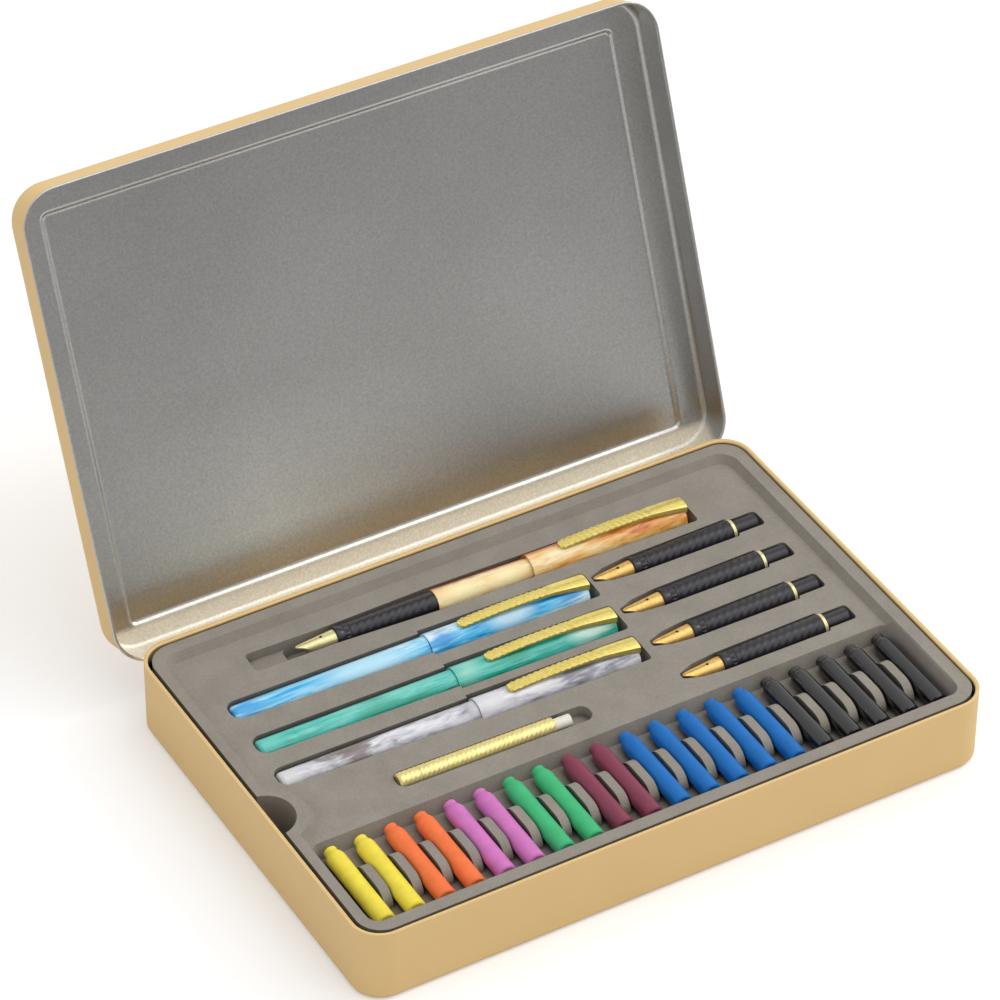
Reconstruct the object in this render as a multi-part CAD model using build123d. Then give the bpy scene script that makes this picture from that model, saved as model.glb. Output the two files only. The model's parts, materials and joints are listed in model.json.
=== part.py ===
from build123d import *
import math
import os

# Calligraphy set in a hinged tin, lid open. Millimetres, +X along the tin, +Y to the hinges, +Z up.
# The origin is the middle of the underside.

# Base tin
tin_length = 240.0
tin_depth = 163.0
tin_height = 29.0
tin_corner = 11.0
tin_sheet = 0.4
foot_round = 2.4
base_curl = 0.7

# Lid, as it lies closed over the base
lid_side_gap = 1.5
lid_front_gap = 2.5
lid_back_gap = 3.7
lid_headroom = 1.6
lid_wall = 13.4
lid_curl = 0.6
lid_edge_round = 2.4
lid_open_angle = 111.0
panel_rise = 1.0
panel_bevel = 2.3
panel_soft_run = 0.7
panel_soft_rise = 0.15
panel_corner = 3.5
panel_margin = 10.4
panel_margin_front = 10.7
panel_margin_back = 7.4

# Hinges
hinge_spacing = 150.0
hinge_width = 24.0
hinge_above_rim = 0.4
knuckle_radius = 1.5
base_knuckle = 11.0
knuckle_gap = 0.3
leaf_height = 9.0
leaf_sheet = 0.5
pin_radius = 0.8
pin_fit = 0.05
pin_overhang = 0.5
hinge_clear = 0.4
stop_clear = 0.1

# Tray
tray_sheet = 0.8
tray_gap = 1.0
tray_shift = 0.6
tray_corner = 9.2
tray_below_rim = 1.0
band_width = 4.1
band_front = 5.4
field_depth = 3.0
field_corner = 5.0
field_draft = 33.7
notch_radius = 10.2
notch_y = -12.3
notch_out = 1.5
seat_gap = 0.3
pocket_corner = 1.6

# Cartridges and their trough
cartridge_radius = 3.4
cartridge_length = 38.0
cartridge_shoulder = 4.8
cartridge_mouth_radius = 2.4
cartridge_mouth = 1.8
cartridge_sink = 2.2
trough_margin = 7.1
trough_margin_front = 8.0
trough_side_gap = 0.8
trough_front_gap = 0.6
trough_back_gap = 1.6
trough_draft = 17.0
rib_gap = 0.6
rib_length = 20.0
rib_round = 6.5
rib_from_front = 18.5
rib_above_axis = 2.6
cartridge_counts = {
    "yellow": 2,
    "orange": 2,
    "pink": 2,
    "green": 2,
    "burgundy": 2,
    "blue": 5,
    "black": 5,
}

# Pens
pen_slant = 1.3
capped_sink = 3.1
posted_sink = 2.0
barrel_length = 73.9
barrel_radius = 4.8
barrel_tail_radius = 4.0
barrel_floor = 10.0
thread_fit = 0.1
cap_length = 62.3
cap_wall = 0.9
cap_end_wall = 0.7
cap_straight = 18.0
cap_floor = 2.0
cap_fit = 0.2
cap_gap = 0.1
post_length = 36.9
grip_length = 38.5
grip_radius = 4.3
grip_front_radius = 4.0
grip_waist_radius = 3.75
grip_tail = 11.0
grip_tail_radius = 3.2
grip_socket = 9.0
ink_bore = 1.4
nib_length = 14.8
nib_radius = 3.25
nib_tip_radius = 1.9
nib_sheet = 0.35
nib_slit = 0.25
nib_hole = 0.55
nib_seat = 7.0
nib_fit = 0.1
feed_fit = 0.05
clip_width = 4.2
clip_root_width = 6.2
clip_root_length = 16.0
clip_start = 12.4
clip_sheet = 1.0
clip_root_sheet = 2.0
clip_lift = 1.7
clip_tip_gap = 0.3
clip_seat_gap = 0.05
clip_foot = 3.0
barrel_pocket_gap = 0.75
cap_pocket_gap = 1.4
posted_pocket_gap = 0.8
cap_end_room = 2.6
pen_unit_gap = 4.5
capped_places = {"blue": (0.0, 40.1), "green": (0.7, 20.6), "grey": (2.0, 3.2)}
posted_end = 83.5
posted_y = 58.9
nib_well = 3.2
nib_step = 14.0
nib_step_depth = 4.0

# Spare nib units
unit_count = 4
unit_pitch = 19.44
unit_first_y = 40.5
unit_x = 92.5
unit_grip = 40.2
unit_ring = 1.15
unit_ring_radius = 4.45
unit_ring_fit = 0.05
unit_sink = 1.7
unit_gap = 0.75
unit_nib_gap = 0.45
unit_tip_gap = 0.6
unit_point = 5.5
unit_point_width = 1.4
unit_end_room = 0.7

# Converter
converter_x = -39.2
converter_y = -16.5
converter_sink = 0.8
sleeve_radius = 3.2
sleeve_length = 50.5
sleeve_wall = 0.3
knob_length = 8.0
knob_gap = 0.15
mouth_length = 6.6
mouth_shoulder = 1.0
ink_tube_fit = 0.05
ink_tube_wall = 0.6
piston_length = 4.0
piston_fit = 0.05
piston_from_mouth = 7.5
piston_rod_length = 20.0
piston_rod_wall = 0.5
screw_radius = 0.9
screw_fit = 0.1
screw_length = 20.5
converter_gap = 0.7
converter_end_room = 8.0

# Places that follow from the sizes above
half_length = tin_length / 2
half_depth = tin_depth / 2
lid_half_length = half_length + lid_side_gap + tin_sheet
lid_front = -(half_depth + lid_front_gap + tin_sheet)
lid_back = half_depth + lid_back_gap + tin_sheet
lid_middle = (lid_front + lid_back) / 2
lid_depth = lid_back - lid_front
lid_ceiling = tin_height + lid_headroom
lid_rim = lid_ceiling - lid_wall
lid_top = lid_ceiling + tin_sheet
hinge_y = lid_back + leaf_sheet
hinge_z = lid_rim + hinge_above_rim
outer_knuckle = (hinge_width - base_knuckle) / 2 - knuckle_gap
tray_half_length = half_length - 2 * base_curl - tray_gap
tray_half_depth = half_depth - 2 * base_curl - tray_gap
tray_top = tin_height - tray_below_rim
tray_bottom = tin_sheet + seat_gap
field_z = tray_top - field_depth
field_run = field_depth * math.tan(math.radians(field_draft))
cartridge_z = field_z - cartridge_sink
trough_floor = cartridge_z - cartridge_radius - seat_gap
trough_half = tray_half_length - trough_margin
trough_front = -(tray_half_depth - trough_margin_front)
cartridge_front = trough_front + trough_front_gap
cartridge_count = sum(cartridge_counts.values())
cartridge_first = -(trough_half - trough_side_gap - cartridge_radius)
cartridge_pitch = -2 * cartridge_first / (cartridge_count - 1)
trough_back = cartridge_front + cartridge_length + trough_back_gap
rib_width = cartridge_pitch - 2 * cartridge_radius - 2 * rib_gap
rib_middle = cartridge_front + rib_from_front
capped_z = field_z - capped_sink
posted_z = field_z - posted_sink
unit_z = field_z - unit_sink
converter_z = field_z - converter_sink
nib_reach = grip_length + nib_length
posted_reach = post_length + cap_length
posted_barrel_radius = barrel_radius + (barrel_tail_radius - barrel_radius) * post_length / barrel_length
barrel_bore = grip_tail_radius + thread_fit
grip_bore = nib_radius + nib_fit
cap_bore_mouth = max(grip_radius, posted_barrel_radius) + cap_fit
cap_bore_end = max(barrel_tail_radius, grip_front_radius) + cap_fit
cap_radius = cap_bore_mouth + cap_wall
cap_end_radius = cap_bore_end + cap_end_wall
converter_length = knob_length + knob_gap + sleeve_length + mouth_length

# Middle of each capped pen's barrel joint, and of the orange pen's grip joint
capped_end = unit_x - unit_grip - nib_length - pen_unit_gap
capped_pens = {
    name: (capped_end - back - cap_length, y) for name, (back, y) in capped_places.items()
}
orange_pen = (posted_end - posted_reach, posted_y)


def slab(length, depth, corner, low, high, middle=0.0):
    """A rounded rectangular block between two heights."""
    return Pos(0, middle, low) * extrude(RectangleRounded(length, depth, corner), amount=high - low)


def block(x0, x1, y0, y1, z0, z1):
    """A plain block between two corners."""
    return Pos((x0 + x1) / 2, (y0 + y1) / 2, (z0 + z1) / 2) * Box(x1 - x0, y1 - y0, z1 - z0)


def curl(length, depth, corner, radius, low, middle=0.0):
    """A rolled rim: a ring of round section along a rounded rectangle, given by its outer edge."""
    width = 2 * radius
    outer = slab(length, depth, corner, low, low + width, middle)
    inner = slab(length - 2 * width, depth - 2 * width, corner - width, low, low + width, middle)
    ring = outer - inner
    edges = ring.faces().filter_by(Axis.Z).edges()
    return fillet(edges, 0.9 * radius)


def swing(shape, degrees):
    """Turn a shape about the hinge axis, opening with a positive angle."""
    return Pos(0, hinge_y, hinge_z) * Rot(-degrees, 0, 0) * Pos(0, -hinge_y, -hinge_z) * shape


def turned(profile):
    """A solid of revolution about X from its half outline in X and radius."""
    face = make_face(Polyline(*profile, close=True))
    return revolve(face, Axis.X)


def rod(radius, x0, x1):
    """A plain cylinder along X."""
    return Pos((x0 + x1) / 2, 0, 0) * Rot(0, 90, 0) * Cylinder(radius, x1 - x0)


# ---------------------------------------------------------------- tin


def make_base_tin():
    outer = slab(tin_length, tin_depth, tin_corner, 0, tin_height)
    outer = fillet(outer.faces().sort_by(Axis.Z)[0].edges(), foot_round)
    inner = slab(
        tin_length - 2 * tin_sheet,
        tin_depth - 2 * tin_sheet,
        tin_corner - tin_sheet,
        tin_sheet,
        tin_height,
    )
    inner = fillet(inner.faces().sort_by(Axis.Z)[0].edges(), foot_round - tin_sheet)
    rim = curl(tin_length, tin_depth, tin_corner, base_curl, tin_height - 2 * base_curl)
    return outer - inner + rim


def raised_panel(level):
    """The flat-topped rise in the middle of the lid: a soft foot, a slope and a soft brow."""
    length = 2 * (lid_half_length - panel_margin)
    low = lid_front + panel_margin_front
    high = lid_back - panel_margin_back
    slope_run = panel_bevel - 2 * panel_soft_run
    slope_rise = panel_rise - 2 * panel_soft_rise
    layers = []
    inset = 0
    for run, rise in (
        (panel_soft_run, panel_soft_rise),
        (slope_run, slope_rise),
        (panel_soft_run, panel_soft_rise),
    ):
        foot = RectangleRounded(length - 2 * inset, high - low - 2 * inset, panel_corner - inset)
        draft = math.degrees(math.atan(run / rise))
        layers.append(extrude(Pos(0, (low + high) / 2, level) * foot, amount=rise, taper=draft))
        inset += run
        level += rise
    return layers


def make_lid_closed():
    corner = tin_corner + lid_side_gap + tin_sheet
    length = 2 * lid_half_length
    outer = slab(length, lid_depth, corner, lid_rim, lid_top, lid_middle)
    outer = fillet(outer.faces().sort_by(Axis.Z)[-1].edges(), lid_edge_round)
    inner = slab(
        length - 2 * tin_sheet,
        lid_depth - 2 * tin_sheet,
        corner - tin_sheet,
        lid_rim,
        lid_ceiling,
        lid_middle,
    )
    inner = fillet(inner.faces().sort_by(Axis.Z)[-1].edges(), lid_edge_round - tin_sheet)
    shell = outer + raised_panel(lid_top) - inner - raised_panel(lid_ceiling)
    proud = 2 * lid_curl - tin_sheet - tin_sheet / 2
    shell += curl(
        length + 2 * proud, lid_depth + 2 * proud, corner + proud, lid_curl, lid_rim, lid_middle
    )
    for side in (-1, 1):
        x = side * hinge_spacing / 2
        reach = hinge_width / 2 + pin_overhang + hinge_clear
        top = hinge_z + knuckle_radius + hinge_clear
        front = lid_back - 3 * lid_curl
        back = lid_back + 3 * lid_curl
        shell -= block(x - reach, x + reach, front, back, lid_rim - lid_curl, top)
    return shell


# ---------------------------------------------------------------- hinges


def knuckle(x0, x1):
    """One rolled loop of a hinge leaf around the pin."""
    loop = rod(knuckle_radius, x0, x1) - rod(pin_radius + pin_fit, x0, x1)
    return Pos(0, hinge_y, hinge_z) * loop


def make_base_hinge(x):
    """A leaf on the base's back wall, with a strap to its middle knuckle."""
    half = hinge_width / 2
    mid = base_knuckle / 2
    wall = half_depth
    leaf = block(
        x - half, x + half, wall, wall + leaf_sheet, hinge_z - leaf_height, hinge_z + knuckle_radius
    )
    under = hinge_z - knuckle_radius
    strap = block(x - mid, x + mid, wall, hinge_y, under, under + leaf_sheet)
    return leaf + strap + knuckle(x - mid, x + mid)


def make_lid_hinge_closed(x):
    """A leaf on the lid's back wall with two outer knuckles, each with a heel that stops the lid."""
    half = hinge_width / 2
    loop_mid = pin_radius + (knuckle_radius - pin_radius) / 2
    foot = hinge_z + knuckle_radius + hinge_clear
    leaf = block(x - half, x + half, lid_back, lid_back + leaf_sheet, foot, hinge_z + leaf_height)
    tip = half_depth + leaf_sheet + stop_clear
    for x0 in (x - half, x + half - outer_knuckle):
        x1 = x0 + outer_knuckle
        leaf += block(x0, x1, lid_back, lid_back + leaf_sheet, hinge_z + loop_mid, foot)
        leaf += knuckle(x0, x1)
        heel = block(
            x0,
            x1,
            tip,
            hinge_y - loop_mid,
            hinge_z - leaf_sheet / 2,
            hinge_z + leaf_sheet / 2,
        )
        leaf += swing(heel, -lid_open_angle)
    return leaf


def make_hinge_pin(x):
    reach = hinge_width / 2 + pin_overhang
    return Pos(0, hinge_y, hinge_z) * rod(pin_radius, x - reach, x + reach)


# ---------------------------------------------------------------- tray tools


def field_plan(grow):
    """Plan of the sunken field, kept clear of the finger notch; grow widens it."""
    x = tray_half_length - band_width - field_run + grow
    back = tray_half_depth - band_width - field_run + grow
    front = -(tray_half_depth - band_front - field_run + grow)
    plan = Pos(0, (front + back) / 2) * RectangleRounded(2 * x, back - front, field_corner + grow)
    keep_off = notch_radius + band_width + field_run - grow
    return plan - Pos(-tray_half_length - notch_out, notch_y) * Circle(keep_off)


def field_tool(grow):
    """The sunken field with its sloping side, grown outwards for the underside of the sheet."""
    plan = Pos(0, 0, field_z - grow) * field_plan(grow)
    return extrude(plan, amount=field_depth + grow, taper=-field_draft)


def trough_tool(grow):
    """The cartridge trough with its sloping walls."""
    length = 2 * (trough_half + grow)
    depth = trough_back - trough_front + 2 * grow
    plan = Pos(0, (trough_front + trough_back) / 2, trough_floor - grow) * RectangleRounded(
        length, depth, pocket_corner + grow
    )
    return extrude(plan, amount=tray_top - trough_floor + grow, taper=-trough_draft)


def pocket(stations, low, end_corner, grow, far_corner=pocket_corner):
    """A recess along X from its half widths, from its floor to above the tray."""
    upper = [(x, w + grow) for x, w in stations]
    upper[0] = (upper[0][0] - grow, upper[0][1])
    upper[-1] = (upper[-1][0] + grow, upper[-1][1])
    lower = [(x, -w) for x, w in reversed(upper)]
    plan = make_face(Polyline(*(upper + lower), close=True))
    plan = fillet(plan.vertices().sort_by(Axis.X)[:2], end_corner)
    plan = fillet(plan.vertices().sort_by(Axis.X)[-2:], far_corner)
    return Pos(0, 0, low - grow) * extrude(plan, amount=tray_top - low + grow)


def capped_pocket(grow):
    """Recess of a capped pen about its barrel joint, wider along the cap."""
    tail = barrel_tail_radius + barrel_pocket_gap
    wide = cap_radius + cap_pocket_gap
    stations = [
        (-barrel_length - barrel_pocket_gap, tail),
        (-cap_gap, barrel_radius + barrel_pocket_gap),
        (0, wide),
        (cap_length + cap_end_room, wide),
    ]
    return pocket(stations, capped_z - cap_radius - seat_gap, 0.8 * tail, grow)


def posted_pocket(grow):
    """Recess of the uncapped pen about its grip joint, with a shallow step past the nib."""
    narrow = grip_front_radius + posted_pocket_gap
    middle = cap_radius + posted_pocket_gap
    wide = cap_radius + cap_pocket_gap
    stations = [
        (-nib_reach - nib_well, narrow),
        (-grip_length, narrow),
        (0, middle),
        (post_length, middle),
        (posted_reach + cap_end_room, wide),
    ]
    deep = pocket(stations, posted_z - cap_radius - seat_gap, pocket_corner, grow)
    end = -nib_reach - nib_step - nib_well
    shallow = [(end, narrow), (-nib_reach, narrow)]
    return deep + pocket(shallow, field_z - nib_step_depth, pocket_corner, grow)


def unit_pocket(grow):
    """Recess of a spare nib unit about its ring, pointed at the nib."""
    body = unit_ring_radius + unit_gap
    tail = grip_tail_radius + unit_gap
    tip = -unit_grip - nib_length
    stations = [
        (tip - unit_tip_gap, unit_point_width),
        (tip + unit_point, nib_radius + unit_nib_gap),
        (-unit_grip, grip_front_radius + unit_gap),
        (unit_ring, body),
        (unit_ring + unit_end_room, tail),
        (unit_ring + grip_tail + unit_end_room, tail),
    ]
    return pocket(stations, unit_z - unit_ring_radius - seat_gap, 0.6 * unit_point_width, grow)


def converter_pocket(grow):
    """Recess of the converter about its middle, with finger room past its mouth."""
    wide = sleeve_radius + converter_gap
    stations = [
        (-converter_length / 2 - converter_gap, wide),
        (converter_length / 2 + converter_end_room, wide),
    ]
    low = converter_z - sleeve_radius - seat_gap
    return pocket(stations, low, 0.8 * wide, grow, far_corner=0.9 * wide)


def rib_positions():
    return [cartridge_first + cartridge_pitch * (i + 0.5) for i in range(cartridge_count - 1)]


def rib(inset):
    """One arched rib between two cartridges; inset shrinks it to the hollow on its underside."""
    top = cartridge_z + rib_above_axis - inset
    low = trough_floor - 2 * tray_sheet
    side = Plane.YZ * Pos(rib_middle, (top + low) / 2) * Rectangle(rib_length - 2 * inset, top - low)
    crown = side.vertices().sort_by(Axis.Z)[-2:]
    side = fillet(crown, rib_round - inset)
    return extrude(side, amount=rib_width / 2 - inset, both=True)


def place_pen(shape, x, y, z):
    return Pos(x, y, z) * Rot(0, 0, -pen_slant) * shape


def place_converter(shape):
    return Pos(converter_x, converter_y, converter_z) * Rot(0, 0, -pen_slant) * shape


def unit_place(index):
    return (unit_x, unit_first_y - unit_pitch * index)


def tray_cavities(grow):
    """Everything sunk into the tray's top, grown by the sheet for its underside."""
    tools = [field_tool(grow), trough_tool(grow)]
    for x, y in capped_pens.values():
        tools.append(Pos(x, y) * Rot(0, 0, -pen_slant) * capped_pocket(grow))
    tools.append(Pos(*orange_pen) * Rot(0, 0, -pen_slant) * posted_pocket(grow))
    tools.append(Pos(converter_x, converter_y) * Rot(0, 0, -pen_slant) * converter_pocket(grow))
    for i in range(unit_count):
        x, y = unit_place(i)
        tools.append(Pos(x, y) * unit_pocket(grow))
    return tools


def tray_block(inset, low, high):
    """The tray's outline with its finger notch, between two heights, resting back and right."""
    body = Pos(tray_shift, tray_shift, 0) * slab(
        2 * (tray_half_length - inset), 2 * (tray_half_depth - inset), tray_corner - inset, low, high
    )
    notch = Pos(-tray_half_length - notch_out, notch_y, (low + high) / 2) * Cylinder(
        notch_radius + inset, high - low
    )
    return body - notch


def make_tray():
    body = tray_block(0, tray_bottom, tray_top)
    body -= tray_cavities(0)
    under = tray_block(tray_sheet, tray_bottom, tray_top - tray_sheet)
    under -= tray_cavities(tray_sheet)
    body -= under
    full = rib(0)
    hollow = rib(tray_sheet)
    body += [Pos(x, 0, 0) * full & trough_tool(tray_sheet / 2) for x in rib_positions()]
    body -= [Pos(x, 0, 0) * hollow for x in rib_positions()]
    return body


# ---------------------------------------------------------------- cartridges


def make_cartridge():
    """One ink cartridge along Y, flat end to the front, mouth to the back."""
    r = cartridge_radius
    bevel = r / 8
    neck = cartridge_length - cartridge_mouth
    straight = cartridge_length - cartridge_shoulder
    mouth = cartridge_mouth_radius
    with BuildSketch() as profile:
        with BuildLine():
            Polyline((0, 0), (0, r - bevel), (bevel, r), (straight, r))
            TangentArc((straight, r), (neck, mouth), tangent=(1, 0))
            Polyline((neck, mouth), (cartridge_length, mouth), (cartridge_length, 0), (0, 0))
        make_face()
    body = revolve(profile.sketch, Axis.X)
    return Pos(0, cartridge_front, cartridge_z) * Rot(0, 0, 90) * body


def make_cartridges(start, count):
    first = cartridge_first + cartridge_pitch * start
    one = make_cartridge()
    return [Pos(first + cartridge_pitch * i, 0, 0) * one for i in range(count)]


# ---------------------------------------------------------------- pens


def make_barrel():
    """Barrel from its rounded tail to its open joint at the origin."""
    tail = -barrel_length
    round_tail = barrel_tail_radius / 3
    profile = [
        (tail, 0),
        (tail, barrel_tail_radius - round_tail),
        (tail + round_tail / 3, barrel_tail_radius - round_tail / 3),
        (tail + round_tail, barrel_tail_radius),
        (0, barrel_radius),
        (0, barrel_bore),
        (tail + barrel_floor, barrel_bore),
        (tail + barrel_floor, 0),
    ]
    return turned(profile)


def cap_outline(x):
    """Outer radius of the cap at a distance from its mouth."""
    if x <= cap_straight:
        return cap_radius
    share = (x - cap_straight) / (cap_length - cap_straight)
    return cap_radius + (cap_end_radius - cap_radius) * share


def clip_foot_block():
    """A tall block in the line of the clip's foot, from the cap's bore upwards."""
    x = cap_length - cap_floor - clip_foot
    return block(x, x + clip_foot / 2, -clip_width / 4, clip_width / 4, 0, 3 * cap_radius)


def make_cap():
    """Cap from its open mouth at the origin to its closed end."""
    r_end = cap_end_radius
    soft = r_end / 4
    profile = [
        (cap_gap, cap_bore_mouth),
        (cap_gap, cap_radius),
        (cap_straight, cap_radius),
        (cap_length - soft, cap_outline(cap_length - soft)),
        (cap_length - soft / 3, r_end - soft / 3),
        (cap_length, r_end - soft),
        (cap_length, 0),
        (cap_length - cap_floor, 0),
        (cap_length - cap_floor, cap_bore_end),
    ]
    return turned(profile) - clip_foot_block()


def clip_envelope(tip_rise, middle_rise, end_rise):
    """A solid of revolution under an arch over the cap, given by its rise above the cap."""
    end = cap_length
    middle = (clip_start + end) / 2
    tip_point = (clip_start, cap_radius + tip_rise)
    end_point = (end, cap_end_radius + end_rise)
    arch = ThreePointArc(tip_point, (middle, cap_outline(middle) + middle_rise), end_point)
    foot = Polyline(end_point, (end, 0), (clip_start, 0), tip_point)
    return revolve(make_face([arch, foot]), Axis.X)


def make_clip():
    """Arched clip over the cap, broad at its root, with a foot through the cap's wall."""
    end = cap_length
    half = clip_width / 2
    root = clip_root_width / 2
    under = clip_envelope(clip_tip_gap, clip_lift, clip_seat_gap)
    over = clip_envelope(
        clip_tip_gap + clip_sheet, clip_lift + clip_sheet, clip_seat_gap + clip_root_sheet
    )
    outline = Polyline(
        (clip_start, half),
        (end - clip_root_length, half),
        (end, root),
        (end, -root),
        (end - clip_root_length, -half),
        (clip_start, -half),
        close=True,
    )
    plan = make_face(outline)
    plan = fillet(plan.vertices().sort_by(Axis.X)[:2], 0.9 * half)
    strip = (over - under) & extrude(plan, amount=3 * cap_radius)
    bore = rod(cap_bore_end, 0, cap_length)
    return strip + ((clip_foot_block() & over) - bore)


def make_grip(length, socket=grip_socket):
    """Grip from its threaded tail to its front, joint face at the origin, bored for the feed."""
    front = length
    lip = grip_front_radius / 5
    profile = [
        (-grip_tail, ink_bore),
        (-grip_tail, grip_tail_radius - lip / 2),
        (-grip_tail + lip / 2, grip_tail_radius),
        (0, grip_tail_radius),
        (0, grip_radius),
        (front * 0.25, grip_radius),
        (front - 3 * lip, grip_waist_radius),
        (front - 2 * lip, grip_front_radius),
        (front - lip / 2, grip_front_radius),
        (front, grip_front_radius - lip / 2),
        (front, grip_bore),
        (front - socket, grip_bore),
        (front - socket, ink_bore),
    ]
    return turned(profile)


def nib_outer(x):
    """Radius of the nib's curved sheet at a distance ahead of the grip."""
    return nib_radius + (nib_tip_radius - nib_radius) * max(x, 0) / nib_length


def make_nib(front):
    """Nib: a curved sheet cut to shoulders and a point, with its slit and breather hole."""
    back = -nib_seat
    tip = nib_length
    profile = [
        (back, nib_radius - nib_sheet),
        (back, nib_radius),
        (0, nib_radius),
        (tip, nib_outer(tip)),
        (tip, nib_outer(tip) - nib_sheet),
        (0, nib_radius - nib_sheet),
    ]
    sheet = turned(profile)
    half = nib_radius * 0.97
    side = [(back, half), (nib_length * 0.42, half)]
    for along, wide in ((0.56, 0.9), (0.7, 0.68), (0.84, 0.42), (0.96, 0.2), (1.0, 0.1)):
        side.append((nib_length * along, half * wide))
    other = [(x, -y) for x, y in reversed(side)]
    plan = make_face(Polyline(*(side + other), close=True))
    nib = sheet & extrude(plan, amount=nib_radius)
    hole_x = nib_length * 0.35
    nib -= Pos(hole_x, 0, nib_radius) * Cylinder(nib_hole, 2 * nib_radius)
    nib -= block(hole_x, tip, -nib_slit / 2, nib_slit / 2, 0, nib_radius)
    return Pos(front, 0, 0) * nib


def make_feed(front):
    """Feed: a finned half-round bar under the nib, held in the grip's bore."""
    radius = nib_radius - nib_sheet - feed_fit
    back = -nib_seat
    tip = nib_length * 0.72
    profile = [
        (back, 0),
        (back, radius),
        (0, radius),
        (tip, nib_outer(tip) * 0.55),
        (tip, 0),
    ]
    bar = turned(profile)
    bar &= block(back, tip, -radius, radius, -radius, radius / 2)
    fin_pitch = tip / 9
    for i in range(1, 6):
        x = i * fin_pitch
        bar -= block(x, x + fin_pitch / 2, -radius, radius, -radius, -radius * 0.55)
    return Pos(front, 0, 0) * bar


def flip(shape):
    """Point a piece the other way along X."""
    return Rot(0, 0, 180) * shape


# ---------------------------------------------------------------- converter


def converter_start():
    """Left end of each converter piece, measured from the converter's middle."""
    knob = -converter_length / 2
    sleeve = knob + knob_length + knob_gap
    mouth = sleeve + sleeve_length
    return knob, sleeve, mouth


def make_sleeve():
    _, left, right = converter_start()
    return rod(sleeve_radius, left, right) - rod(sleeve_radius - sleeve_wall, left, right)


def ink_tube_bore():
    return sleeve_radius - sleeve_wall - ink_tube_fit - ink_tube_wall


def make_mouth():
    """White mouth end with the ink tube that runs on inside the sleeve."""
    _, left, right = converter_start()
    outer = ink_tube_bore() + ink_tube_wall
    end = right + mouth_length
    tube = rod(outer, left, right) + rod(sleeve_radius - mouth_shoulder, right, end)
    tube -= rod(ink_tube_bore(), left + ink_tube_wall, right - ink_tube_wall)
    tube -= rod(screw_radius + screw_fit, left, left + ink_tube_wall)
    return tube - rod(ink_bore, right - ink_tube_wall, end)


def make_piston():
    """Piston head with a hollow rod behind it for the knob's screw."""
    _, _, right = converter_start()
    face = right - piston_from_mouth
    back = face - piston_length
    bore = screw_radius + screw_fit
    head = rod(ink_tube_bore() - piston_fit, back, face)
    stem = rod(bore + piston_rod_wall, back - piston_rod_length, back)
    return head + stem - rod(bore, back - piston_rod_length, back)


def make_knob():
    """Twist knob with the screw that draws the piston back."""
    knob, left, _ = converter_start()
    end = left - knob_gap
    bevel = sleeve_radius / 5
    profile = [
        (knob, 0),
        (knob, sleeve_radius - bevel),
        (knob + bevel, sleeve_radius),
        (end, sleeve_radius),
        (end, screw_radius),
        (left + screw_length, screw_radius),
        (left + screw_length, 0),
    ]
    return turned(profile)


# ---------------------------------------------------------------- output


def write(name, shape):
    """Write one node; a list of solids is one node of separate pieces."""
    solids = shape if isinstance(shape, list) else [shape]
    pieces = [s for item in solids for s in item.solids()]
    export_step(Compound(children=pieces) if len(pieces) > 1 else pieces[0], f"parts/{name}.step")


def write_tin():
    write("base_tin", make_base_tin())
    write("lid_shell", swing(make_lid_closed(), lid_open_angle))
    pins = []
    for name, side in (("left", -1), ("right", 1)):
        x = side * hinge_spacing / 2
        write(f"base_hinge_{name}", make_base_hinge(x))
        write(f"lid_hinge_{name}", swing(make_lid_hinge_closed(x), lid_open_angle))
        pins.append(make_hinge_pin(x))
    write("hinge_pins", pins)
    write("tray", make_tray())


def write_pens():
    grip = make_grip(grip_length)
    for name, (x, y) in capped_pens.items():
        pieces = {
            "barrel": make_barrel(),
            "cap": make_cap(),
            "clip": make_clip(),
            "grip": grip,
            "nib": make_nib(grip_length),
            "feed": make_feed(grip_length),
        }
        for piece, shape in pieces.items():
            write(f"{name}_pen_{piece}", place_pen(shape, x, y, capped_z))
    x, y = orange_pen
    pieces = {
        "barrel": flip(make_barrel()),
        "cap": Pos(post_length, 0, 0) * make_cap(),
        "clip": Pos(post_length, 0, 0) * make_clip(),
        "grip": flip(grip),
        "nib": flip(make_nib(grip_length)),
        "feed": flip(make_feed(grip_length)),
    }
    for piece, shape in pieces.items():
        write(f"orange_pen_{piece}", place_pen(shape, x, y, posted_z))


def write_units():
    grip = make_grip(unit_grip)
    ring_bore = grip_tail_radius + unit_ring_fit
    ring = rod(unit_ring_radius, 0, unit_ring) - rod(ring_bore, 0, unit_ring)
    for i in range(unit_count):
        x, y = unit_place(i)
        place = Pos(x, y, unit_z)
        write(f"nib_unit_{i + 1}_grip", place * flip(grip))
        write(f"nib_unit_{i + 1}_ring", place * ring)
        write(f"nib_unit_{i + 1}_nib", place * flip(make_nib(unit_grip)))
        write(f"nib_unit_{i + 1}_feed", place * flip(make_feed(unit_grip)))


def write_converter():
    write("converter_sleeve", place_converter(make_sleeve()))
    write("converter_mouth", place_converter(make_mouth()))
    write("converter_piston", place_converter(make_piston()))
    write("converter_knob", place_converter(make_knob()))


def write_cartridges():
    start = 0
    for colour, count in cartridge_counts.items():
        write(f"{colour}_cartridges", make_cartridges(start, count))
        start += count


os.makedirs("parts", exist_ok=True)
write_tin()
write_pens()
write_units()
write_converter()
write_cartridges()
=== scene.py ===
"""Looks of the calligraphy set in its hinged tin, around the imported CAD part.

Places are in metres in the CAD frame, and sizes that are multiplied by MM are in millimetres.
"""
import json
import math

import bmesh
import bpy
from mathutils import Euler, Matrix, Vector

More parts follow.
